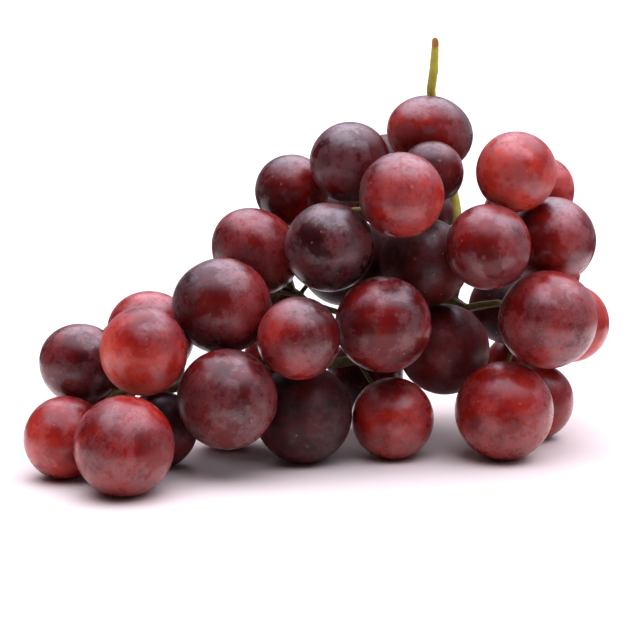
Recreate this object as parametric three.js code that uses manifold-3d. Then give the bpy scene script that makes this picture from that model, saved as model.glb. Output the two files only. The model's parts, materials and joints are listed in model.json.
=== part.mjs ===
// A bunch of large red table grapes, lying on its side on a table with its stalk pointing up.
// One branching green stem carries every berry. Millimetres, +Z up, X to the right and Y to the
// back as the bunch is seen from the front. The table's top is z = 0.
import * as THREE from "three";
import { mergeVertices } from "three/addons/utils/BufferGeometryUtils.js";
import Module from "manifold-3d";

const wasm = await Module();
wasm.setup();

// The line of sight along which the berries were measured: it slopes down to the middle of the
// bunch, and what lies nearer looks larger.
const SIGHT_TILT = THREE.MathUtils.degToRad(10);
const SIGHT_DISTANCE = 600;
const SIGHT_HEIGHT = 37;

// Berry shape, as shares of the berry's half width or half length.
const BERRY_DETAIL = 2; // rows that each face of the icosahedron is divided into, less one
const LONGEST = 1.1; // the longest berry's length over its width
const ROUNDEST = 1.02;
const SHOULDER = 0.03; // how much wider the stem end is than the middle
const SEAT_AT = 0.94; // the flat that the stem's collar meets, up the half length
const FLATTENED = 0.6; // mm that a berry under load is pressed flat on the table

// Stem sizes.
const GAP = 0.3; // mm between pieces that touch
const COLLAR_RADIUS = 2.1;
const COLLAR_LENGTH = 1.1;
const NECK_LENGTH = 2.4;
const PEDICEL_RADIUS = 0.75;
const LEAD = 3.2; // mm that a pedicel runs straight on from its berry
const LIMB_SIDES = 5;
const STALK_SIDES = 8;
const LIMB_STEP = 5.5; // mm between a limb's rings
const SPOT_STEP = 2.5;
const CUT_SLANT = 0.9; // slope of the oblique cut across the stalk's end

// How the berries settle against each other and the stem.
const SETTLE_STEPS = 200;
const BAND_STEPS = 90;
const STIFF = 0.25; // how far a berry that shows gives way across the line of sight
const STUB_ROOM = 1.5; // mm round the top of a pedicel that other berries leave free
const LIMB_CLEARANCE = 0.6;
const DRIFT = 0.4; // how far a berry hangs askew
const FACING = 1.2; // how far a berry in front turns its far end to the viewer
const SEED = 9;
const TABLE_UP = new THREE.Vector3(0, 0, 1);

// Skin tones, and the stem's colour.
const PLUM = 0x3a1420;
const MAUVE = 0x6b2a38;
const RED = 0x7c2426;
const PINK = 0xa54b4a;
const STEM_GREEN = 0x8a8f2f;

// Berries seen from the front: right of and up from the middle of the view, back along the line
// of sight, and width, in mm. tall is an oval berry's length over its width. lean is the way that
// its far end points, in degrees anticlockwise from the right, and toward is how far that end
// turns to the viewer. tone is the skin's colour.
const FRONT_BERRIES = [
  { right: 29.6, up: 50.3, back: 26, wide: 20.3, tall: 1.32, lean: 170, toward: 44, tone: RED },
  { right: 8.1, up: 42.7, back: 7.5, wide: 21.9, tone: PLUM },
  { right: 22, up: 33.8, back: -8, wide: 23.2, tone: RED },
  { right: 30, up: 40.2, back: 9.5, wide: 17.3, tone: PLUM },
  { right: -7.7, up: 35, back: 20, wide: 19.9, tone: RED },
  { right: 53.1, up: 39.9, back: 3, wide: 21.9, tone: PINK },
  { right: 59.2, up: 34.3, back: 30, wide: 18.9, tone: PINK },
  { right: 61.9, up: 21.6, back: 13, wide: 23.8, tone: MAUVE },
  { right: 44.8, up: 19.5, back: -3, wide: 23.2, tone: MAUVE },
  { right: 2.8, up: 20, back: -5, wide: 24.3, tone: PLUM },
  { right: -17.6, up: 18.6, back: 9, wide: 22.4, tall: 1.15, lean: 135, toward: 25, tone: MAUVE },
  { right: 28.1, up: 15.7, back: 13.7, wide: 24.3, tone: PLUM },
  { right: 27.6, up: 28.8, back: 30, wide: 15.1, tone: PLUM },
  { right: -27.3, up: 3.3, back: -9, wide: 26.2, tall: 1.04, lean: 173, toward: 25, tone: MAUVE },
  { right: -46.4, up: -4, back: -1, wide: 23.8, tone: RED },
  { right: -47.6, up: -8.2, back: -25, wide: 24, tone: RED },
  { right: -6.8, up: -5.5, back: -19.5, wide: 22.6, tone: MAUVE },
  { right: 17.2, up: -1.1, back: -10, wide: 26.2, tone: RED },
  { right: 61.6, up: 0.5, back: -1, wide: 26.6, tone: MAUVE },
  { right: 67.3, up: -0.8, back: 22, wide: 21.4, tone: RED },
  { right: 33.6, up: -7.6, back: 18.5, wide: 24.6, tone: PLUM },
  { right: -62.8, up: -12.8, back: -9, wide: 22, tone: PLUM },
  { right: -24.8, up: -21.1, back: -20, wide: 27.4, tone: MAUVE },
  { right: -4.3, up: -25.1, back: -2.5, wide: 26.5, rests: true, tone: PLUM },
  { right: 19.2, up: -26.4, back: 0, wide: 22.3, rests: true, tone: RED },
  { right: 49.8, up: -23.6, back: -1, wide: 26.8, rests: true, tone: MAUVE },
  { right: 58.2, up: -21.4, back: 24, wide: 20.8, rests: true, tone: MAUVE },
  { right: -68, up: -31.7, back: -23, wide: 22.7, rests: true, tone: RED },
  { right: -53.6, up: -33.5, back: -35, wide: 27.2, rests: true, tone: RED },
  { right: -43.7, up: -30.5, back: -15, wide: 20.7, rests: true, tone: PLUM },
  { right: 6.9, up: 16.9, back: 24.3, wide: 24.3, tone: PLUM },
  { right: 52, up: 3.5, back: 43, wide: 21.6, tone: PLUM },
];

// Berries at the back, which the front ones hide.
const BACK_BERRIES = [
  { right: 17, up: 38, back: 46, wide: 19, tone: MAUVE },
  { right: 4, up: 27, back: 48, wide: 20.5, tone: PLUM },
  { right: -13.5, up: 17.5, back: 42, wide: 19.4, tone: RED },
  { right: 19.4, up: 18.5, back: 47, wide: 22.2, tone: PLUM },
  { right: 27, up: -2.5, back: 45, wide: 20, tone: PLUM },
  { right: 59, up: 12.5, back: 58, wide: 18.6, tone: MAUVE },
  { right: 53, up: -11, back: 56, wide: 18.4, tone: RED },
  { right: 12.5, up: -14.5, back: 34, wide: 20.5, tone: PLUM },
  { right: -13, up: -7, back: 24, wide: 20.5, tone: MAUVE },
  { right: -23, up: -23, back: 12, wide: 20.5, rests: true, tone: RED },
  { right: -15.5, up: 8, back: 27, wide: 20, tone: PLUM },
  { right: -51.3, up: -8.1, back: 23, wide: 18.4, tone: MAUVE },
  { right: -59.4, up: -23, back: 7, wide: 19.4, tone: RED },
  { right: 55.9, up: 28, back: 48, wide: 20, tone: MAUVE },
];

// The stalk and the main axis that it runs into, from the cut end to the bunch's tail, measured
// the same way, with the stem's half thickness. The second place is the knuckle below the cut.
const MAIN_AXIS = [
  { right: 31.2, up: 75.8, back: 24, half: 1 },
  { right: 30.7, up: 67.2, back: 27, half: 1.35 },
  { right: 30, up: 61, back: 33, half: 1.35 },
  { right: 32.4, up: 46, back: 40, half: 1.5 },
  { right: 34.8, up: 37.8, back: 39.5, half: 1.7 },
  { right: 36.5, up: 31, back: 38, half: 1.6 },
  { right: 37, up: 15.7, back: 33, half: 1.75 },
  { right: 35.3, up: 5.4, back: 33, half: 1.8 },
  { right: 26.5, up: -4, back: 33, half: 1.7 },
  { right: 15.5, up: -9, back: 22, half: 1.6 },
  { right: 5.4, up: -11.5, back: 11, half: 1.5 },
  { right: -5.4, up: -12.4, back: 6, half: 1.4 },
  { right: -18.9, up: -14, back: 0, half: 1.3 },
  { right: -31, up: -17, back: -4, half: 1.2 },
  { right: -39, up: -17.5, back: -10, half: 1.1 },
  { right: -49, up: -19.4, back: -14, half: 1 },
  { right: -56, up: -20, back: -14, half: 0.9 },
];

// The branches that the main axis forks into. Each starts at one of the axis's places.
const UPPER_LEFT_BRANCH = [
  MAIN_AXIS[4],
  { right: 27, up: 34.6, back: 41, half: 1.2 },
  { right: 17.6, up: 30.8, back: 30, half: 1.1 },
  { right: 8.1, up: 29.4, back: 24, half: 1 },
  { right: 2.7, up: 28.9, back: 21, half: 0.8 },
];
const UPPER_RIGHT_BRANCH = [
  MAIN_AXIS[6],
  { right: 44.6, up: 15.1, back: 27, half: 1.2 },
  { right: 50, up: 18.4, back: 25, half: 1.1 },
  { right: 52.7, up: 24.8, back: 22, half: 1 },
  { right: 54, up: 31, back: 18, half: 0.8 },
];
const LOWER_RIGHT_BRANCH = [
  MAIN_AXIS[7],
  { right: 40.5, up: 3, back: 29, half: 1.3 },
  { right: 45.9, up: 4.7, back: 25, half: 1.2 },
  { right: 51, up: 4, back: 23, half: 1.1 },
  { right: 55.9, up: 2.7, back: 25, half: 0.8 },
];
const MIDDLE_BRANCH = [
  MAIN_AXIS[9],
  { right: 11.6, up: -2.7, back: 19.5, half: 1.2 },
  { right: 6.8, up: 1.2, back: 16, half: 1 },
  { right: 1.4, up: 3.2, back: 12, half: 0.9 },
  { right: -3.8, up: 5.2, back: 8, half: 0.8 },
];
const SIDE_BRANCHES = [
  UPPER_LEFT_BRANCH,
  UPPER_RIGHT_BRANCH,
  LOWER_RIGHT_BRANCH,
  MIDDLE_BRANCH,
];

// The same seed always gives the same run of numbers between 0 and 1.
function randomFrom(seed) {
  let state = seed;
  return () => {
    state = (state * 1664525 + 1013904223) % 4294967296;
    return state / 4294967296;
  };
}

const random = randomFrom(SEED);

const sightBack = new THREE.Vector3(0, Math.cos(SIGHT_TILT), -Math.sin(SIGHT_TILT));
const sightUp = new THREE.Vector3(0, Math.sin(SIGHT_TILT), Math.cos(SIGHT_TILT));
const sightRight = new THREE.Vector3(1, 0, 0);

// How much larger a thing is than it looks, for its distance.
const growth = (back) => 1 + back / SIGHT_DISTANCE;

// The real place of something measured along the line of sight.
function placeOf({ right, up, back }) {
  return new THREE.Vector3(0, 0, SIGHT_HEIGHT)
    .addScaledVector(sightRight, right * growth(back))
    .addScaledVector(sightUp, up * growth(back))
    .addScaledVector(sightBack, back);
}

// A smooth tube's centre line through measured places, with the half thickness at every step.
function stretchOf(places, step) {
  const curve = new THREE.CatmullRomCurve3(places.map(placeOf), false, "centripetal");
  const count = Math.round(curve.getLength() / step);
  const points = curve.getPoints(count);
  const radii = points.map((_, i) => {
    const at = (i / count) * (places.length - 1);
    const low = Math.min(Math.floor(at), places.length - 2);
    return THREE.MathUtils.lerp(places[low].half, places[low + 1].half, at - low);
  });
  return { points, radii };
}

const axes = [MAIN_AXIS, ...SIDE_BRANCHES].map((places) => stretchOf(places, LIMB_STEP));

// Every place on the axis and its branches that a limb can grow from.
const axisSpots = [MAIN_AXIS, ...SIDE_BRANCHES].flatMap((places) => {
  const { points, radii } = stretchOf(places, SPOT_STEP);
  return points.map((place, i) => ({ place, half: radii[i] }));
});

function nearestSpot(place, spots = axisSpots) {
  const gap = (spot) => spot.place.distanceTo(place);
  return spots.reduce((a, b) => (gap(b) < gap(a) ? b : a));
}

// The way that a berry's far end points: away from the stem, and to the viewer if it is in front.
function axisOf(seen, centre, front) {
  if (seen.lean !== undefined) {
    const lean = THREE.MathUtils.degToRad(seen.lean);
    const toward = THREE.MathUtils.degToRad(seen.toward);
    const flat = sightRight.clone().multiplyScalar(Math.cos(lean));
    flat.addScaledVector(sightUp, Math.sin(lean));
    return flat.multiplyScalar(Math.cos(toward)).addScaledVector(sightBack, -Math.sin(toward));
  }
  const drift = new THREE.Vector3(random() - 0.5, random() - 0.5, random() - 0.5);
  const away = centre.clone().sub(nearestSpot(centre).place).normalize();
  away.addScaledVector(drift, DRIFT).addScaledVector(sightBack, front ? -FACING : 0);
  return away.normalize();
}

// A berry: its centre, half width, half length, and the way its far end points.
function berryFrom(seen, front) {
  const centre = placeOf(seen);
  const half = (seen.wide / 2) * growth(seen.back);
  const tall = seen.tall ?? THREE.MathUtils.lerp(ROUNDEST, LONGEST, random() ** 1.5);
  const axis = axisOf(seen, centre, front);
  const { tone, rests = false } = seen;
  return { centre, half, long: half * tall, axis, front, tone, rests };
}

// How far a berry reaches from its centre along a direction.
function reach(berry, direction) {
  const along = berry.axis.dot(direction);
  const across = 1 - along * along;
  return Math.sqrt((berry.long * along) ** 2 + berry.half ** 2 * across);
}

// Moves a berry. One that shows from the front gives way mostly along the line of sight.
function nudge(berry, move) {
  const deep = move.dot(sightBack);
  const share = berry.front ? STIFF : 1;
  berry.centre.addScaledVector(move, share).addScaledVector(sightBack, deep * (1 - share));
}

// Moves a berry away from a place that it must leave free by some room.
function keepOff(berry, place, room) {
  const way = new THREE.Vector3().subVectors(berry.centre, place);
  const off = way.length();
  way.divideScalar(off);
  const short = reach(berry, way) + room - off;
  if (short > 0) nudge(berry, way.multiplyScalar(short));
}

// The place on a berry's pedicel from where it may bend.
const stubOf = (berry) => berry.centre.clone().addScaledVector(berry.axis, -berry.long - LEAD);

// Moves two berries that meet apart, the hidden one more than the one that shows.
function part(a, b) {
  const way = new THREE.Vector3().subVectors(b.centre, a.centre);
  const apart = way.length();
  way.divideScalar(apart);
  const short = reach(a, way) + reach(b, way) + GAP - apart;
  const yields = a.front === b.front ? 0.5 : a.front ? 0.1 : 0.9;
  if (short > 0) {
    nudge(a, way.clone().multiplyScalar(-short * yields));
    nudge(b, way.clone().multiplyScalar(short * (1 - yields)));
  }
  keepOff(a, stubOf(b), STUB_ROOM);
  keepOff(b, stubOf(a), STUB_ROOM);
}

// Clears every berry of the others, of the stem and of the table.
function settle(berries) {
  for (let step = 0; step < SETTLE_STEPS; step++)
    berries.forEach((a, i) => {
      berries.slice(i + 1).forEach((b) => part(a, b));
      const spot = nearestSpot(a.centre);
      keepOff(a, spot.place, spot.half + LIMB_CLEARANCE);
      const rest = reach(a, TABLE_UP) + (a.rests ? -FLATTENED : GAP);
      if (a.rests || a.centre.z < rest) a.centre.z = rest;
    });
}

// A closed mesh with shared vertices, as a solid.
function solidOf(geometry) {
  const bare = new THREE.BufferGeometry().setAttribute("position", geometry.getAttribute("position"));
  if (geometry.index) bare.setIndex(geometry.index);
  const merged = mergeVertices(bare, 1e-4);
  return new wasm.Manifold(
    new wasm.Mesh({
      numProp: 3,
      vertProperties: new Float32Array(merged.attributes.position.array),
      triVerts: new Uint32Array(merged.index.array),
    }),
  );
}

function geometryOf(solid) {
  const mesh = solid.getMesh();
  const geometry = new THREE.BufferGeometry();
  geometry.setAttribute("position", new THREE.BufferAttribute(mesh.vertProperties, 3));
  geometry.setIndex(new THREE.BufferAttribute(mesh.triVerts, 1));
  geometry.computeVertexNormals();
  return geometry;
}

// One grape, round its own centre: an oval, broader at the stem end, with a flat seat for the
// stem's collar and, if it carries weight, a flat spot where it is pressed on the table.
function berryGeometry(berry) {
  const ball = new THREE.IcosahedronGeometry(1, BERRY_DETAIL);
  const places = ball.getAttribute("position");
  const corner = new THREE.Vector3(0, 1, (1 + Math.sqrt(5)) / 2).normalize();
  const upright = new THREE.Quaternion().setFromUnitVectors(corner, new THREE.Vector3(0, 0, 1));
  const stemward = berry.axis.clone().negate();
  const turn = new THREE.Quaternion().setFromUnitVectors(new THREE.Vector3(0, 0, 1), stemward);
  const v = new THREE.Vector3();
  for (let i = 0; i < places.count; i++) {
    v.fromBufferAttribute(places, i).applyQuaternion(upright);
    const broad = berry.half * (1 + SHOULDER * v.z * (1 - v.z));
    v.set(v.x * broad, v.y * broad, Math.min(v.z, SEAT_AT) * berry.long).applyQuaternion(turn);
    places.setXYZ(i, v.x, v.y, v.z);
  }
  let solid = solidOf(ball);
  if (berry.rests) {
    const above = new THREE.BoxGeometry(80, 80, 80).translate(0, 0, 40 - berry.centre.z);
    solid = solid.intersect(solidOf(above));
  }
  return geometryOf(solid);
}

// A tube through the points with a radius at each, flat at both ends, whose first ring can be
// cut aslant.
function limbGeometry(points, radii, sides, slant = 0) {
  const places = [];
  const faces = [];
  const side = new THREE.Vector3(0.3, 0.5, 0.8).normalize();
  const ahead = new THREE.Vector3();
  const other = new THREE.Vector3();
  points.forEach((p, i) => {
    ahead.subVectors(points[Math.min(i + 1, points.length - 1)], points[Math.max(i - 1, 0)]);
    if (i === points.length - 1) ahead.subVectors(p, points[i - 1]);
    ahead.normalize();
    side.addScaledVector(ahead, -side.dot(ahead)).normalize();
    other.crossVectors(ahead, side);
    for (let k = 0; k < sides; k++) {
      const angle = (2 * Math.PI * k) / sides;
      const ring = p
        .clone()
        .addScaledVector(side, radii[i] * Math.cos(angle))
        .addScaledVector(other, radii[i] * Math.sin(angle));
      if (i === 0) ring.addScaledVector(ahead, slant * radii[i] * Math.cos(angle));
      places.push(...ring.toArray());
    }
  });
  const corner = (ring, k) => ring * sides + (k % sides);
  for (let ring = 0; ring + 1 < points.length; ring++)
    for (let k = 0; k < sides; k++) {
      faces.push(corner(ring, k), corner(ring, k + 1), corner(ring + 1, k + 1));
      faces.push(corner(ring, k), corner(ring + 1, k + 1), corner(ring + 1, k));
    }
  const last = points.length - 1;
  for (let k = 1; k + 1 < sides; k++) {
    faces.push(corner(0, 0), corner(0, k + 1), corner(0, k));
    faces.push(corner(last, 0), corner(last, k), corner(last, k + 1));
  }
  const geometry = new THREE.BufferGeometry();
  geometry.setAttribute("position", new THREE.Float32BufferAttribute(places, 3));
  geometry.setIndex(faces);
  return geometry;
}

// Lays a limb like an elastic band from its foot to its top, bent clear of every berry.
function bend(foot, top, berries) {
  const pieces = Math.max(2, Math.round(foot.distanceTo(top) / LIMB_STEP));
  const points = Array.from({ length: pieces + 1 }, (_, i) =>
    new THREE.Vector3().lerpVectors(foot, top, i / pieces),
  );
  const away = new THREE.Vector3();
  for (let step = 0; step < BAND_STEPS; step++)
    for (let i = 1; i < pieces; i++) {
      const p = points[i];
      p.lerp(away.addVectors(points[i - 1], points[i + 1]).multiplyScalar(0.5), 0.5);
      for (const berry of berries) {
        away.subVectors(p, berry.centre);
        const off = away.length();
        away.divideScalar(off);
        const need = reach(berry, away) + PEDICEL_RADIUS * 1.6 + LIMB_CLEARANCE;
        if (off < need) p.addScaledVector(away, need - off);
      }
    }
  return points;
}

// Grows one limb to each berry, the nearest berries first. A later limb starts from the axis or
// from an earlier limb, whichever is nearer, so that limbs fork.
function growLimbs(berries) {
  const spots = axisSpots.map(({ place }) => ({ place, limb: null }));
  const limbs = [];
  const far = ({ centre, long }) => nearestSpot(centre).place.distanceTo(centre) - long;
  for (const berry of [...berries].sort((a, b) => far(a) - far(b))) {
    const seat = berry.centre.clone().addScaledVector(berry.axis, -SEAT_AT * berry.long - GAP);
    const from = nearestSpot(stubOf(berry), spots);
    const points = bend(from.place, stubOf(berry), berries);
    const limb = { points, load: points.map(() => 1), parent: from.limb, foot: from.index, berry, seat };
    for (let below = limb; below.parent; below = below.parent)
      for (let k = 0; k <= below.foot; k++) below.parent.load[k] += 1;
    points.slice(1, -1).forEach((place, k) => spots.push({ place, limb, index: k + 1 }));
    limbs.push(limb);
  }
  return limbs;
}

// A limb thickens with the number of berries it carries, and ends in the collar of its berry.
function limbSolid({ points, load, berry, seat }) {
  const collar = [
    { out: NECK_LENGTH, radius: PEDICEL_RADIUS * 1.1 },
    { out: COLLAR_LENGTH, radius: COLLAR_RADIUS * 0.86 },
    { out: 0, radius: COLLAR_RADIUS },
  ];
  const radii = load.map((berriesBorne) => PEDICEL_RADIUS * Math.min(berriesBorne, 4) ** 0.3);
  const tip = collar.map(({ out }) => seat.clone().addScaledVector(berry.axis, -out));
  const widths = collar.map(({ radius }) => radius);
  return solidOf(limbGeometry([...points, ...tip], [...radii, ...widths], LIMB_SIDES));
}

function stemGeometry(limbs) {
  const [main, ...branches] = axes;
  const stalk = solidOf(limbGeometry(main.points, main.radii, STALK_SIDES, CUT_SLANT));
  const arms = branches.map(({ points, radii }) => solidOf(limbGeometry(points, radii, LIMB_SIDES)));
  return geometryOf([...arms, ...limbs.map(limbSolid)].reduce((joined, arm) => joined.add(arm), stalk));
}

const berries = [
  ...FRONT_BERRIES.map((seen) => berryFrom(seen, true)),
  ...BACK_BERRIES.map((seen) => berryFrom(seen, false)),
];
settle(berries);

const bunch = new THREE.Group();
berries.forEach((berry, i) => {
  const skin = new THREE.MeshStandardMaterial({ color: berry.tone, roughness: 0.45, metalness: 0 });
  const mesh = new THREE.Mesh(berryGeometry(berry), skin);
  mesh.name = "berry_" + String(i + 1).padStart(2, "0");
  mesh.position.copy(berry.centre);
  bunch.add(mesh);
});

const bark = new THREE.MeshStandardMaterial({ color: STEM_GREEN, roughness: 0.6, metalness: 0 });
const stem = new THREE.Mesh(stemGeometry(growLimbs(berries)), bark);
stem.name = "stem";
bunch.add(stem);

// The origin is on the table, under the middle of the bunch.
const box = new THREE.Box3().setFromObject(bunch, true);
bunch.position.set(-(box.min.x + box.max.x) / 2, -(box.min.y + box.max.y) / 2, 0);

export default bunch;
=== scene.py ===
"""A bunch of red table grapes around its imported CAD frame. Metres, +Z up."""
import json
import math
import random
from typing import NamedTuple

import bpy
import bmesh
import numpy as np
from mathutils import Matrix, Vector, noise
from mathutils.bvhtree import BVHTree


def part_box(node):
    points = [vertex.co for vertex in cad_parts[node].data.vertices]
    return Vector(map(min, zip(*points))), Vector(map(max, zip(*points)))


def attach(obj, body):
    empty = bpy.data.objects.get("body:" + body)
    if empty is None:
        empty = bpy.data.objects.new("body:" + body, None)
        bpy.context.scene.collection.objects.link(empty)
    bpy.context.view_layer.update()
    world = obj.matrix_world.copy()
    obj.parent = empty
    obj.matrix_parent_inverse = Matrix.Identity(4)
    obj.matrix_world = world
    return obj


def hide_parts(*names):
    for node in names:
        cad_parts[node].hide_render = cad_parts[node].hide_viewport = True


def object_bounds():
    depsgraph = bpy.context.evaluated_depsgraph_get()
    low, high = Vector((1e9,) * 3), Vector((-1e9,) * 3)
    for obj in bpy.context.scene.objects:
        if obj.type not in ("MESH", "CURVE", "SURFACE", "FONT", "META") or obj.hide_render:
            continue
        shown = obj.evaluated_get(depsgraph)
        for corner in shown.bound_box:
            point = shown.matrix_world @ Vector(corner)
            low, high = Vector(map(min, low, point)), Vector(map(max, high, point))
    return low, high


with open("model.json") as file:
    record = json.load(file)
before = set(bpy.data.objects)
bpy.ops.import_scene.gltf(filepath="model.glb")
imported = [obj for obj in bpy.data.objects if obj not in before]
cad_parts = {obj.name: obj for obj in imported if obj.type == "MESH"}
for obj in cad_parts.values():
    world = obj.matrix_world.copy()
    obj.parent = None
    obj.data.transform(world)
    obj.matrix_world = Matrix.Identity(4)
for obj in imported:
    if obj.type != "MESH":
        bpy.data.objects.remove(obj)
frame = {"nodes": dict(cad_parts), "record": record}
CAD_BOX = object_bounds()

MM = 0.001
SEED = 11
NOISE_SPAN = (0.3, 0.7)  # takes in nearly all that a noise pattern gives


class Layer(NamedTuple):
    """A noise pattern. Below its span it has the first of its levels, and above it the second."""

    size: float
    detail: float
    roughness: float
    span: tuple
    levels: tuple


class Spots(NamedTuple):
    """Round marks in a share of the cells of a grid, with an edge given in cells."""

    spacing: float
    share: float
    edge: tuple
    shift: float  # keeps one kind of mark from following another


# The camera: the photograph's line of sight meets this point, from this distance and height.
VIEW_CENTRE = Vector((-1.92 * MM, -7.84 * MM, 37 * MM))
VIEW_DISTANCE = 0.6
VIEW_TILT = math.radians(10)
VIEW_WIDTH = 172.8 * MM  # what the frame takes in at that distance
SENSOR_WIDTH = 36

# The light. An axis points at the middle of a light, and an edge is a pair of cosines from that
# axis, where the light starts and where it is full.
SKY_AXIS = Vector((0.1, 0.18, 0.98))
SKY_EDGE = (0.5, 0.93)
SKY_STRENGTH = 4.4
SKY_TINT = (0.86, 0.81, 0.97, 1)
FRONT_STRENGTH = 0.04
BACK_STRENGTH = 0.4
ROOM_AXIS = Vector((0.8, 0.6, 0))  # from the dark side of the room to the pale one
ROOM_EDGE = (-0.3, 0.8)
WALL_AXIS = Vector((0, 1, 0))
WALL_STRENGTH = 0.2
WALL_EDGE = (0.75, 0.95)

# The table, and the black ring on it, from the middle to their edges.
TABLE_REACH = 4
TABLE_TONES = ((0.86, 0.81, 0.73, 1), (0.84, 0.79, 0.71, 1))
TABLE_CLOUD_SIZE = 0.2
MATT_ROUGHNESS = 0.9
CARD_GAP = Vector((0.2, 0.125))  # half the clear table inside the ring
CARD_REACH = 1.5
CARD_LIFT = 1 * MM
CARD_TONE = (0.01, 0.01, 0.01, 1)
CORNER_SIGNS = ((-1, -1), (1, -1), (1, 1), (-1, 1))

# The fine berry's mesh.
SEGMENTS = 64
RINGS = 46
POLE_CROWDING = 0.6  # how much closer the rings lie at the two ends
SHOULDER = 0.03  # as in the solids: the stem end is the broader one
DIMPLE_DEPTH = 0.45 * MM
DIMPLE_RADIUS = 2.4 * MM
LIP_HEIGHT = 0.1 * MM
LIP_RADIUS = 3.6 * MM
LIP_WIDTH = 1.2 * MM
STEM_MARK_RADIUS = 2.9 * MM
TIP_RISE = 0.12 * MM  # the low swelling at the blossom end
TIP_RADIUS = 2 * MM
TIP_MARK_RADIUS = 0.8 * MM
PIT_DEPTH = 0.12 * MM  # the pit in the middle of that swelling
PIT_RADIUS = 0.45 * MM
LUMP_SIZE = 8 * MM
LUMP_HEIGHT = 0.11 * MM

# The stem's mesh.
STEM_WELD = 0.002 * MM
STEM_VOXEL = 0.34 * MM
STEM_SMOOTHING = 5  # passes
STEM_SWELL = 0.04 * MM  # gives back what smoothing takes
STEM_KNOB_SIZE = 1.6 * MM
STEM_KNOB_HEIGHT = 0.09 * MM
COLLAR_REACH = 2.6 * MM

# The bark: olive limbs low in the bunch, darkened with painted shade, and a fresh stalk with a dried
# end.
OLIVE_SHADE_HEIGHTS = (52 * MM, 66 * MM)  # from where the limbs are olive in full painted shade to where they are fresh
STALK_X = 33 * MM  # where the stalk stands
STALK_REACH = (4 * MM, 8 * MM)  # how far from it the limbs are fresh, and from where they keep only part of it under painted shade
# How much of the fresh green the limbs away from the stalk keep under the painted shade.
TWIG_UNSHADED_SHARE = 0.3
FRESH_GREENS = [(0.3, (0.5, 0.48, 0.03)), (0.7, (0.7, 0.66, 0.08))]
# The limbs' olive green, made darker as painted shade for the inside of the bunch.
OLIVE_GREENS_IN_SHADE = [(0.35, (0.055, 0.042, 0.011)), (0.65, (0.19, 0.16, 0.025))]
BARK_PATCH_SIZE = 5 * MM
STREAK_WIDTH = 0.5 * MM
STREAK_STRETCH = (1, 1, 0.12)
STREAK_TINT = (0.2, 0.15, 0.02, 1)
WART_SPACING = 1.1 * MM
WART_EDGE = (0.08, 0.24)
WART_SHOW = 0.3
WART_HEIGHT = 0.08 * MM
RIDGE_HEIGHT = 0.12 * MM
BROWN_TINT = (0.17, 0.1, 0.035, 1)  # of warts and collars
BARK_ROUGHNESS = (0.42, 0.6)
DRIED_DEPTHS = (4 * MM, 2.4 * MM)  # down from the top: where the dried end starts and is full
DRIED_RAG = (0.5 * MM, 1.4 * MM)  # how uneven that edge is, and how often it turns
DRIED_TINTS = ((0.56, 0.25, 0.02, 1), (0.33, 0.11, 0.02, 1))

# The skin's colour from unripe to ripe, and the wax on it.
SKIN_TONES = [
    (0.0, (0.62, 0.085, 0.04)),
    (0.2, (0.45, 0.034, 0.016)),
    (0.42, (0.26, 0.0075, 0.004)),
    (0.62, (0.14, 0.0025, 0.0018)),
    (0.82, (0.07, 0.0015, 0.0015)),
    (1.0, (0.025, 0.001, 0.0012)),
]
RIPE_BLOTCHES = Layer(10 * MM, 3, 0.5, NOISE_SPAN, (-0.14, 0.14))
RIPE_MOTTLE = Layer(1.8 * MM, 4, 0.6, NOISE_SPAN, (-0.05, 0.05))
WAX_PATCHES = Layer(9 * MM, 3, 0.58, (0.38, 0.55), (0.04, 1.0))
WAX_WEAR = Layer(2.6 * MM, 4, 0.65, (0.38, 0.56), (0.48, 1.0))
WAX_GRAIN = Layer(0.7 * MM, 3, 0.7, (0.32, 0.68), (0.55, 1.0))
WAX_TINT = (0.78, 0.4, 0.44, 1)
WAX_COVER = 0.08
BARE_ROUGHNESS = 0.22
WAXED_ROUGHNESS = 0.45
COAT_COVER = (0.2, 1.0)  # on bare skin, and under full wax
COAT_ROUGHNESS = 0.36
COAT_IOR = 1.6
DENT_SIZE = 6 * MM
DENT_DEPTH = 0.1 * MM
GRAIN_HEIGHT = 0.02 * MM

# The marks on the skin.
FLECK_SIZE = 0.5 * MM  # the ragged edge of every mark
BARE_MARKS = Spots(9 * MM, 0.3, (0.09, 0.17), 0)
BARE_MARK_RED = 0.2  # how much less ripe the skin looks there
BARE_MARK_WAX = 0.12
SCARS = Spots(8 * MM, 0.12, (0.035, 0.06), 0.05)
SCAR_TINT = (0.36, 0.19, 0.11, 1)
SCAR_SHOW = 0.5
SPECKS = Spots(2.2 * MM, 0.22, (0.08, 0.14), 0.09)
SPECK_TINT = (0.75, 0.42, 0.36, 1)
SPECK_SHOW = 0.3
TIP_TINT = (0.24, 0.13, 0.08, 1)
TIP_SHOW = 0.35
STEM_END_TINT = (0.26, 0.19, 0.07, 1)
STEM_END_SHOW = 0.7

# How smooth and how clear skin and bark are.
PLANT_IOR = 1.45
SKIN_SHINE = 0.32  # a plain surface has 0.5
FLESH_SHARE = 0.8  # of the light goes in under the skin
FLESH_DEPTHS = (8, 1.2, 0.8)  # mm that red, green and blue light goes in
BARK_SHARE = 0.1
BARK_DEPTHS = (0.6, 0.8, 0.2)
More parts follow.
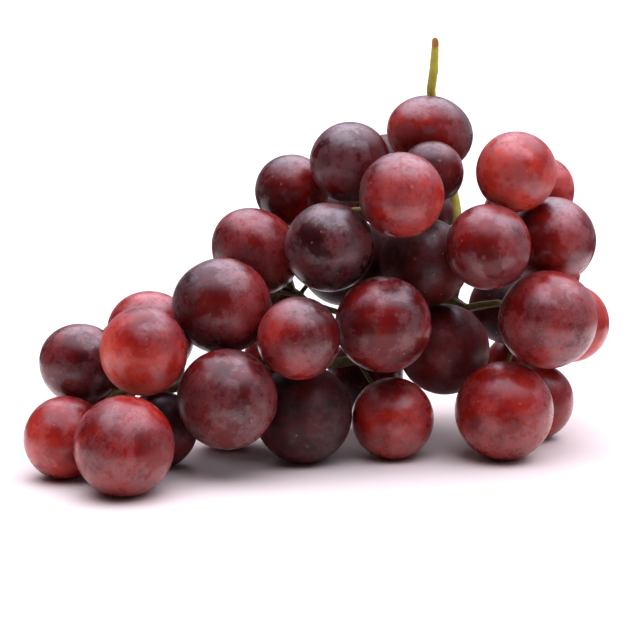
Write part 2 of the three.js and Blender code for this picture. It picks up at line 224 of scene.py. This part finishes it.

# How ripe each berry that shows is, from 0, pink, to 1, nearly black, and how much bloom it has.
# berry_33's tone is partly painted shade.
LOOKS = {
    "berry_01": (0.62, 1.1),
    "berry_02": (0.82, 1.3),
    "berry_03": (0.5, 1.1),
    "berry_04": (0.78, 0.5),
    "berry_05": (0.74, 0.8),
    "berry_06": (0.28, 1.3),
    "berry_07": (0.38, 0.9),
    "berry_08": (0.6, 1.2),
    "berry_09": (0.62, 1.2),
    "berry_10": (0.88, 1.2),
    "berry_11": (0.62, 0.9),
    "berry_12": (0.84, 0.5),
    "berry_13": (0.86, 0.5),
    "berry_14": (0.8, 0.9),
    "berry_15": (0.36, 0.9),
    "berry_16": (0.36, 0.9),
    "berry_17": (0.68, 1.0),
    "berry_18": (0.7, 0.9),
    "berry_19": (0.57, 1.0),
    "berry_20": (0.3, 0.25),
    "berry_21": (0.64, 0.5),
    "berry_22": (0.77, 0.9),
    "berry_23": (0.74, 0.9),
    "berry_24": (0.95, 0.5),
    "berry_25": (0.4, 1.0),
    "berry_26": (0.46, 0.9),
    "berry_27": (0.5, 0.4),
    "berry_28": (0.5, 0.9),
    "berry_29": (0.52, 0.9),
    "berry_30": (0.82, 0.5),
    "berry_31": (0.9, 0.5),
    "berry_32": (0.88, 0.5),
    # berry_33's near-black tone is partly painted shade, for its place deep in the bunch.
    "berry_33": (0.95, 0.3),
}
# Berries deep in the bunch, whose wax nothing has rubbed, and how rough it leaves them.
DULL = ("berry_12", "berry_13", "berry_21", "berry_24", "berry_30", "berry_31", "berry_32", "berry_33")
DULL_ROUGHNESS = 0.62
# The same as LOOKS for a berry at the back, by the material slot of its solid.
SLOT_LOOKS = {
    "skin_plum": (0.85, 0.45),
    "skin_mauve": (0.6, 0.5),
    "skin_red": (0.42, 0.45),
    "skin_pink": (0.2, 0.45),
}
RIPE_SPREAD = 0.1  # how far a berry at the back may be from that
# Berries with one redder side, partly their own uneven colour and partly painted glow of light through
# the flesh: where it faces, and how much less ripe it looks.
RED_SIDES_AND_GLOW = {
    "berry_01": (Vector((-0.65, -0.5, -0.55)), 0.34),
    "berry_03": (Vector((0.8, -0.5, -0.3)), 0.2),
    "berry_05": (Vector((0.8, -0.4, -0.4)), 0.3),
    "berry_08": (Vector((-0.8, -0.5, -0.2)), 0.12),
    "berry_11": (Vector((0.6, -0.5, 0.2)), 0.2),
    "berry_14": (Vector((0.8, -0.5, 0.1)), 0.25),
    "berry_16": (Vector((-0.5, -0.4, -0.7)), 0.26),
    "berry_17": (Vector((-0.8, -0.5, -0.4)), 0.26),
    "berry_28": (Vector((-0.8, -0.4, 0.1)), 0.2),
}
SIDE_SPREAD = 1.3  # above 1, the redder side is an area and not one point


class Nodes:
    """Builds a node tree with short calls."""

    def __init__(self, tree):
        self.tree = tree
        tree.nodes.clear()

    def add(self, kind, inputs=None, **settings):
        node = self.tree.nodes.new(kind)
        for name, value in settings.items():
            setattr(node, name, value)
        for name, value in (inputs or {}).items():
            self.feed(node.inputs[name], value)
        return node

    def feed(self, socket, value):
        if isinstance(value, bpy.types.NodeSocket):
            self.tree.links.new(value, socket)
        else:
            socket.default_value = value

    def math(self, operation, a, b=0.0, clamp=False):
        node = self.add("ShaderNodeMath", {0: a, 1: b}, operation=operation, use_clamp=clamp)
        return node.outputs[0]

    def along(self, direction, axis):
        """The cosine between a direction and an axis."""
        inputs = {0: direction, 1: axis.normalized()}
        return self.add("ShaderNodeVectorMath", inputs, operation="DOT_PRODUCT").outputs["Value"]

    def fit(self, value, low, high, to_low=0.0, to_high=1.0):
        """Takes low to to_low and high to to_high, with an eased step between."""
        node = self.add(
            "ShaderNodeMapRange",
            {"Value": value, "From Min": low, "From Max": high, "To Min": to_low, "To Max": to_high},
            interpolation_type="SMOOTHSTEP",
        )
        return node.outputs["Result"]

    def mix(self, share, a, b):
        node = self.add("ShaderNodeMix", data_type="RGBA")
        self.feed(node.inputs["Factor"], share)
        self.feed(node.inputs["A"], a)
        self.feed(node.inputs["B"], b)
        return node.outputs["Result"]

    def noise(self, place, size, detail, roughness=0.5):
        inputs = {"Vector": place, "Scale": 1 / size, "Detail": detail, "Roughness": roughness}
        return self.add("ShaderNodeTexNoise", inputs).outputs["Fac"]

    def layer(self, place, layer):
        return self.fit(self.noise(place, *layer[:3]), *layer.span, *layer.levels)

    def cells(self, place, size):
        return self.add("ShaderNodeTexVoronoi", {"Vector": place, "Scale": 1 / size}).outputs

    def moved(self, place, **settings):
        return self.add("ShaderNodeMapping", {"Vector": place, **settings}).outputs["Vector"]

    def spots(self, place, spots, fleck):
        """Where a kind of mark is, from 0 to 1. The fleck makes its edge ragged."""
        shift = (spots.shift, spots.shift, spots.shift)
        cells = self.cells(self.moved(place, Location=shift), spots.spacing)
        pick = self.add("ShaderNodeSeparateColor", {"Color": cells["Color"]}).outputs["Red"]
        picked = self.math("LESS_THAN", pick, spots.share)
        rag = spots.edge[1] / 4
        distance = self.math("ADD", cells["Distance"], self.fit(fleck, *NOISE_SPAN, -rag, rag))
        return self.math("MULTIPLY", self.fit(distance, *spots.edge, 1.0, 0.0), picked)

    def attribute(self, name):
        return self.add("ShaderNodeAttribute", attribute_name=name).outputs["Fac"]

    def ramp(self, value, stops):
        node = self.add("ShaderNodeValToRGB", {"Fac": value})
        elements = node.color_ramp.elements
        elements[0].position, elements[1].position = stops[0][0], stops[-1][0]
        elements[0].color, elements[1].color = (*stops[0][1], 1), (*stops[-1][1], 1)
        for position, colour in stops[1:-1]:
            elements.new(position).color = (*colour, 1)
        return node.outputs["Color"]

    def bump(self, height, distance, strength=1.0, normal=None):
        node = self.add("ShaderNodeBump", {"Height": height, "Distance": distance, "Strength": strength})
        if normal is not None:
            self.feed(node.inputs["Normal"], normal)
        return node.outputs["Normal"]


def new_material(name):
    material = bpy.data.materials.new(name)
    material.use_nodes = True
    return material, Nodes(material.node_tree)


def finish_material(nodes, **sockets):
    """Adds the shader and the output. A socket's name has its spaces as underscores."""
    shader = nodes.add("ShaderNodeBsdfPrincipled")
    for name, value in sockets.items():
        nodes.feed(shader.inputs[name.replace("_", " ")], value)
    nodes.add("ShaderNodeOutputMaterial", {"Surface": shader.outputs["BSDF"]})


def grape_skin():
    """Red to nearly black skin under a mauve bloom of wax, which is rubbed off in patches."""
    material, n = new_material("grape_skin")
    place = n.add("ShaderNodeTexCoord").outputs["Object"]
    fleck = n.noise(place, FLECK_SIZE, 2)
    bare_mark = n.spots(place, BARE_MARKS, fleck)
    scar = n.spots(place, SCARS, fleck)
    speck = n.spots(place, SPECKS, fleck)

    # The ripe tone carries painted light too: a painted glow on some berries' redder sides, and painted
    # shade on berry_33.
    tone = n.math("ADD", n.attribute("ripe_and_painted_light"), n.layer(place, RIPE_BLOTCHES))
    tone = n.math("ADD", tone, n.layer(place, RIPE_MOTTLE))
    tone = n.math("SUBTRACT", tone, n.math("MULTIPLY", bare_mark, BARE_MARK_RED), clamp=True)

    grain = n.layer(place, WAX_GRAIN)
    wax = n.math("MULTIPLY", n.layer(place, WAX_PATCHES), n.layer(place, WAX_WEAR))
    wax = n.math("MULTIPLY", wax, n.math("MULTIPLY", grain, n.attribute("bloom")))
    wax = n.math("MULTIPLY", wax, n.fit(bare_mark, 0.0, 1.0, 1.0, BARE_MARK_WAX), clamp=True)

    at_tip = n.fit(n.attribute("blossom_end"), 0.5, 0.9, 0.0, TIP_SHOW)
    at_stem = n.fit(n.attribute("stem_end"), 0.25, 0.9, 0.0, STEM_END_SHOW)
    colour = n.mix(n.math("MULTIPLY", wax, WAX_COVER), n.ramp(tone, SKIN_TONES), WAX_TINT)
    colour = n.mix(n.math("MULTIPLY", speck, SPECK_SHOW), colour, SPECK_TINT)
    colour = n.mix(n.math("MULTIPLY", scar, SCAR_SHOW), colour, SCAR_TINT)
    colour = n.mix(at_tip, colour, TIP_TINT)
    colour = n.mix(at_stem, colour, STEM_END_TINT)

    rough = n.fit(wax, 0.0, 1.0, BARE_ROUGHNESS, WAXED_ROUGHNESS)
    dents = n.bump(n.noise(place, DENT_SIZE, 2), DENT_DEPTH, 0.6)
    grainy = n.bump(grain, GRAIN_HEIGHT, 0.6, dents)
    finish_material(
        n,
        Base_Color=colour,
        Roughness=n.math("MAXIMUM", rough, n.attribute("dull")),
        Normal=grainy,
        IOR=PLANT_IOR,
        Specular_IOR_Level=SKIN_SHINE,
        Subsurface_Weight=FLESH_SHARE,
        Subsurface_Radius=FLESH_DEPTHS,
        Subsurface_Scale=MM,
        Coat_Weight=n.fit(wax, 0.0, 1.0, *COAT_COVER),
        Coat_Roughness=COAT_ROUGHNESS,
        Coat_IOR=COAT_IOR,
        Coat_Normal=grainy,
    )
    return material


def stem_bark():
    """Yellow-green stalk with a dried cut end, olive limbs in the bunch darkened with painted shade,
    brown collars.
    """
    material, n = new_material("green_stem")
    place = n.add("ShaderNodeTexCoord").outputs["Object"]
    parts = n.add("ShaderNodeSeparateXYZ", {"Vector": place}).outputs
    patch = n.noise(place, BARK_PATCH_SIZE, 4, 0.6)
    streak = n.noise(n.moved(place, Scale=STREAK_STRETCH), STREAK_WIDTH, 3, 0.6)
    wart = n.fit(n.cells(place, WART_SPACING)["Distance"], *WART_EDGE, 1.0, 0.0)

    # Painted shade: limbs low in the bunch, and limbs away from the stalk, turn dark olive.
    aside = n.math("ABSOLUTE", n.math("SUBTRACT", parts["X"], STALK_X))
    fresh_and_unshaded = n.fit(aside, *STALK_REACH, 1.0, TWIG_UNSHADED_SHARE)
    fresh_and_unshaded = n.math("MULTIPLY", n.fit(parts["Z"], *OLIVE_SHADE_HEIGHTS), fresh_and_unshaded)
    colour = n.mix(fresh_and_unshaded, n.ramp(patch, OLIVE_GREENS_IN_SHADE), n.ramp(patch, FRESH_GREENS))
    colour = n.mix(n.fit(streak, 0.4, 0.8, 0.0, 0.35), colour, STREAK_TINT)
    at_collar = n.fit(n.attribute("collar"), 0.1, 0.9)
    brown = n.math("MULTIPLY", at_collar, n.fit(patch, 0.3, 0.6, 0.35, 0.95))
    brown = n.math("MAXIMUM", brown, n.math("MULTIPLY", wart, WART_SHOW))
    colour = n.mix(brown, colour, BROWN_TINT)

    rag, rag_size = DRIED_RAG
    ragged = n.math("ADD", parts["Z"], n.fit(n.noise(place, rag_size, 3), 0.2, 0.8, -rag, rag))
    top = CAD_BOX[1].z
    dry = n.fit(ragged, top - DRIED_DEPTHS[0], top - DRIED_DEPTHS[1])
    colour = n.mix(dry, colour, n.mix(n.fit(streak, 0.35, 0.65), *DRIED_TINTS))

    ridges = n.bump(streak, RIDGE_HEIGHT, 0.5)
    finish_material(
        n,
        Base_Color=colour,
        Roughness=n.fit(patch, *NOISE_SPAN, *BARK_ROUGHNESS),
        Normal=n.bump(wart, WART_HEIGHT, 0.6, ridges),
        IOR=PLANT_IOR,
        Subsurface_Weight=BARK_SHARE,
        Subsurface_Radius=BARK_DEPTHS,
        Subsurface_Scale=MM,
    )
    return material


def table_top():
    material, n = new_material("pale_table")
    place = n.add("ShaderNodeTexCoord").outputs["Object"]
    cloudy = n.fit(n.noise(place, TABLE_CLOUD_SIZE, 2), *NOISE_SPAN)
    finish_material(n, Base_Color=n.mix(cloudy, *TABLE_TONES), Roughness=MATT_ROUGHNESS)
    return material


def corners_of(name):
    """A node's distinct corners."""
    mesh = frame["nodes"][name].data
    places = np.array([v.co for v in mesh.vertices], float)
    return np.unique(places.round(7), axis=0)


def surface_of(name):
    mesh = frame["nodes"][name].data
    places = [v.co.copy() for v in mesh.vertices]
    return BVHTree.FromPolygons(places, [tuple(f.vertices) for f in mesh.polygons])


def measure_berry(name, stem_surface):
    """Reads a berry's solid: its centre, its axes, the last of which points to the stem end, its
    half width and half length, and where its stem is seated."""
    corners = corners_of(name)
    gaps = [stem_surface.find_nearest(Vector(c))[3] for c in corners]
    seat = corners[int(np.argmin(gaps))]
    middle = corners.mean(0)
    up = (seat - middle) / np.linalg.norm(seat - middle)
    side = np.cross(up, (0.31, 0.52, 0.79))
    side /= np.linalg.norm(side)
    other = np.cross(up, side)
    curved = corners[(corners[:, 2] > 0.01 * MM) & (np.linalg.norm(corners - seat, axis=1) > MM)]
    at = (curved - middle) / MM
    s, o, t = at @ side, at @ other, at @ up
    terms = np.stack([s * s + o * o, t * t, s, o, t], 1)
    wide, tall, shift_s, shift_o, shift_t = np.linalg.lstsq(terms, np.ones(len(at)), rcond=None)[0]
    off = np.array([-shift_s / (2 * wide), -shift_o / (2 * wide), -shift_t / (2 * tall)])
    total = 1 + wide * (off[0] ** 2 + off[1] ** 2) + tall * off[2] ** 2
    centre = middle + MM * (off[0] * side + off[1] * other + off[2] * up)
    return {
        "centre": centre,
        "axes": np.stack([side, other, up]),
        "half": MM * math.sqrt(total / wide),
        "long": MM * math.sqrt(total / tall),
        "seat": seat,
    }


def berry_grid():
    """Faces and the polar angles of a berry's rings, from its stem end to its blossom end."""
    steps = np.arange(1, RINGS) / RINGS
    angles = np.pi * (steps - POLE_CROWDING * np.sin(2 * np.pi * steps) / (2 * np.pi))
    faces = []
    last = (RINGS - 1) * SEGMENTS + 1
    for k in range(SEGMENTS):
        after = (k + 1) % SEGMENTS
        faces.append((0, 1 + k, 1 + after))
        for ring in range(RINGS - 2):
            a, b = 1 + ring * SEGMENTS, 1 + (ring + 1) * SEGMENTS
            faces.append((a + k, b + k, b + after, a + after))
        end = 1 + (RINGS - 2) * SEGMENTS
        faces.append((end + k, last, end + after))
    return angles, faces


def bell(distance, width):
    return np.exp(-((distance / width) ** 2))


def berry_points(berry, angles):
    """Every point of a fine berry, and how near each lies to the stem end and the blossom end."""
    turns = 2 * np.pi * np.arange(SEGMENTS) / SEGMENTS
    polar = np.concatenate([[0.0], np.repeat(angles, SEGMENTS), [np.pi]])
    around = np.concatenate([[0.0], np.tile(turns, len(angles)), [0.0]])
    c, s = np.cos(polar), np.sin(polar)
    out = berry["half"] * (1 + SHOULDER * c * (1 - c)) * s
    up = berry["long"] * c
    stem_end = np.where(c > 0, 1.0, 0.0)
    blossom_end = 1 - stem_end
    up -= stem_end * DIMPLE_DEPTH * bell(out, DIMPLE_RADIUS)
    up += stem_end * LIP_HEIGHT * bell(out - LIP_RADIUS, LIP_WIDTH)
    up += blossom_end * TIP_RISE * bell(out, TIP_RADIUS)
    up -= blossom_end * PIT_DEPTH * bell(out, PIT_RADIUS)
    local = np.stack([out * np.cos(around), out * np.sin(around), up], 1)
    places = berry["centre"] + local @ berry["axes"]
    away = places - berry["centre"]
    away /= np.linalg.norm(away, axis=1)[:, None]
    lumps = np.array([noise.noise(Vector(p) / LUMP_SIZE) for p in places])
    places += away * (lumps * LUMP_HEIGHT)[:, None]
    return places, stem_end * bell(out, STEM_MARK_RADIUS), blossom_end * bell(out, TIP_MARK_RADIUS)


def keep_in_box(places, centre):
    """Shrinks a fine berry evenly until it is inside the whole part's box, with a flat foot."""
    low, high = CAD_BOX
    shares = [1.0]
    for k in range(3):
        shares.append((high[k] - centre[k]) / (places[:, k].max() - centre[k]))
        if k < 2:
            shares.append((centre[k] - low[k]) / (centre[k] - places[:, k].min()))
    places = centre + (places - centre) * min(shares)
    places[:, 2] = np.maximum(places[:, 2], low[2])
    return places


def mesh_object(name, places, faces, material):
    mesh = bpy.data.meshes.new(name)
    mesh.from_pydata([tuple(p) for p in places], [], faces)
    mesh.shade_smooth()
    mesh.materials.append(material)
    piece = bpy.data.objects.new(name, mesh)
    bpy.context.scene.collection.objects.link(piece)
    return piece


def add_attribute(piece, name, values):
    attribute = piece.data.attributes.new(name, "FLOAT", "POINT")
    attribute.data.foreach_set("value", np.asarray(values, np.float32))


def ripeness_and_glow(name, berry, places, base):
    """How ripe the skin looks at each point. One side may be less ripe and the other more: partly the
    berry's own uneven colour, partly painted glow through the flesh with painted shade opposite it.
    """
    if name not in RED_SIDES_AND_GLOW:
        return np.full(len(places), base)
    way, less = RED_SIDES_AND_GLOW[name]
    away = places - berry["centre"]
    away /= np.linalg.norm(away, axis=1)[:, None]
    facing = away @ np.array(way.normalized())
    return base - less * np.clip(facing * SIDE_SPREAD, -1, 1)


def make_berry(name, slot, stem_surface, grid, skin, luck):
    angles, faces = grid
    berry = measure_berry(name, stem_surface)
    places, stem_end, blossom_end = berry_points(berry, angles)
    places = keep_in_box(places, berry["centre"])
    ripe_and_painted_light, bloom = LOOKS.get(name, SLOT_LOOKS[slot])
    if name not in LOOKS:
        ripe_and_painted_light += luck.uniform(-RIPE_SPREAD, RIPE_SPREAD)
    piece = mesh_object("grape_" + name[-2:], places, faces, skin)
    add_attribute(piece, "ripe_and_painted_light", ripeness_and_glow(name, berry, places, ripe_and_painted_light))
    add_attribute(piece, "bloom", np.full(len(places), bloom))
    add_attribute(piece, "dull", np.full(len(places), DULL_ROUGHNESS if name in DULL else 0))
    add_attribute(piece, "stem_end", stem_end)
    add_attribute(piece, "blossom_end", blossom_end)
    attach(piece, "root")
    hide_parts(name)
    return berry


def apply_modifiers(piece):
    """Turns what the modifiers make into the piece's own mesh."""
    bpy.context.view_layer.update()
    evaluated = piece.evaluated_get(bpy.context.evaluated_depsgraph_get())
    mesh = bpy.data.meshes.new_from_object(evaluated)
    piece.modifiers.clear()
    piece.data = mesh


def make_stem(bark, berries):
    """The solid's limbs rounded off, with small knobs. The bark is told where collars are."""
    shape = bmesh.new()
    shape.from_mesh(frame["nodes"]["stem"].data)
    bmesh.ops.remove_doubles(shape, verts=shape.verts, dist=STEM_WELD)
    mesh = bpy.data.meshes.new("stalk")
    shape.to_mesh(mesh)
    shape.free()
    piece = bpy.data.objects.new("stalk", mesh)
    bpy.context.scene.collection.objects.link(piece)
    remesh = piece.modifiers.new("remesh", "REMESH")
    remesh.mode = "VOXEL"
    remesh.voxel_size = STEM_VOXEL
    smooth = piece.modifiers.new("smooth", "SMOOTH")
    smooth.factor = 0.5
    smooth.iterations = STEM_SMOOTHING
    apply_modifiers(piece)
    mesh = piece.data
    low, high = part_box("stem")
    count = len(mesh.vertices)
    places = np.empty(3 * count, np.float32)
    normals = np.empty(3 * count, np.float32)
    mesh.vertices.foreach_get("co", places)
    mesh.vertex_normals.foreach_get("vector", normals)
    places = places.reshape(-1, 3)
    knobs = np.array([noise.noise(Vector(p) / STEM_KNOB_SIZE) for p in places])
    swell = STEM_SWELL + STEM_KNOB_HEIGHT * knobs
    places = places + normals.reshape(-1, 3) * swell[:, None]
    places = np.clip(places, np.array(low), np.array(high))
    mesh.vertices.foreach_set("co", places.astype(np.float32).ravel())
    collar = np.full(count, np.inf)
    for berry in berries:
        collar = np.minimum(collar, np.linalg.norm(places - berry["seat"], axis=1))
    mesh.shade_smooth()
    mesh.materials.clear()
    mesh.materials.append(bark)
    add_attribute(piece, "collar", np.clip(1 - collar / COLLAR_REACH, 0, 1))
    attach(piece, "root")
    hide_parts("stem")


def add_camera():
    lens = bpy.data.cameras.new("camera")
    lens.sensor_width = SENSOR_WIDTH
    lens.lens = SENSOR_WIDTH * VIEW_DISTANCE / VIEW_WIDTH
    lens.clip_start = 0.01
    camera = bpy.data.objects.new("camera", lens)
    back = Vector((0, -math.cos(VIEW_TILT), math.sin(VIEW_TILT)))
    camera.location = VIEW_CENTRE + VIEW_DISTANCE * back
    camera.rotation_euler = (math.pi / 2 - VIEW_TILT, 0, 0)
    bpy.context.scene.collection.objects.link(camera)
    bpy.context.scene.camera = camera


def add_sky():
    """A soft light overhead in a dim room, whose far wall is paler. The camera sees white."""
    world = bpy.data.worlds.new("studio")
    world.use_nodes = True
    bpy.context.scene.world = world
    n = Nodes(world.node_tree)
    direction = n.add("ShaderNodeTexCoord").outputs["Generated"]
    overhead = n.fit(n.along(direction, SKY_AXIS), *SKY_EDGE, 0.0, SKY_STRENGTH)
    room = n.fit(n.along(direction, ROOM_AXIS), *ROOM_EDGE, FRONT_STRENGTH, BACK_STRENGTH)
    wall = n.fit(n.along(direction, WALL_AXIS), *WALL_EDGE, 0.0, WALL_STRENGTH)
    level = n.math("ADD", overhead, n.math("ADD", room, wall))
    lit = n.add("ShaderNodeBackground", {"Color": SKY_TINT, "Strength": level})
    seen = n.add("ShaderNodeBackground", {"Color": (1, 1, 1, 1), "Strength": 1.0})
    ray = n.add("ShaderNodeLightPath").outputs["Is Camera Ray"]
    shown = n.add("ShaderNodeMixShader", {0: ray, 1: lit.outputs[0], 2: seen.outputs[0]})
    n.add("ShaderNodeOutputWorld", {"Surface": shown.outputs[0]})


def add_table():
    corners = [Vector((x * TABLE_REACH, y * TABLE_REACH, 0)) for x, y in CORNER_SIGNS]
    mesh_object("table", corners, [(0, 1, 2, 3)], table_top())


def add_black_ring():
    """A black ring on the table round the bunch, which shows in reflections alone."""
    material, n = new_material("black_card")
    finish_material(n, Base_Color=CARD_TONE, Roughness=MATT_ROUGHNESS)
    inner = [Vector((x * CARD_GAP.x, y * CARD_GAP.y, CARD_LIFT)) for x, y in CORNER_SIGNS]
    outer = [Vector((x * CARD_REACH, y * CARD_REACH, CARD_LIFT)) for x, y in CORNER_SIGNS]
    faces = [(k, (k + 1) % 4, (k + 1) % 4 + 4, k + 4) for k in range(4)]
    card = mesh_object("black_card", inner + outer, faces, material)
    card.visible_camera = False
    card.visible_diffuse = False
    card.visible_shadow = False
    card.visible_transmission = False


add_camera()
luck = random.Random(SEED)
stem_surface = surface_of("stem")
grid = berry_grid()
skin = grape_skin()
slots = {s["node"]: s["material_slot"] for s in frame["record"]["subparts"]}
berries = [
    make_berry(name, slots[name], stem_surface, grid, skin, luck)
    for name in sorted(frame["nodes"])
    if name.startswith("berry")
]
make_stem(stem_bark(), berries)
add_table()
add_black_ring()
add_sky()
bpy.context.scene.view_settings.view_transform = "Standard"
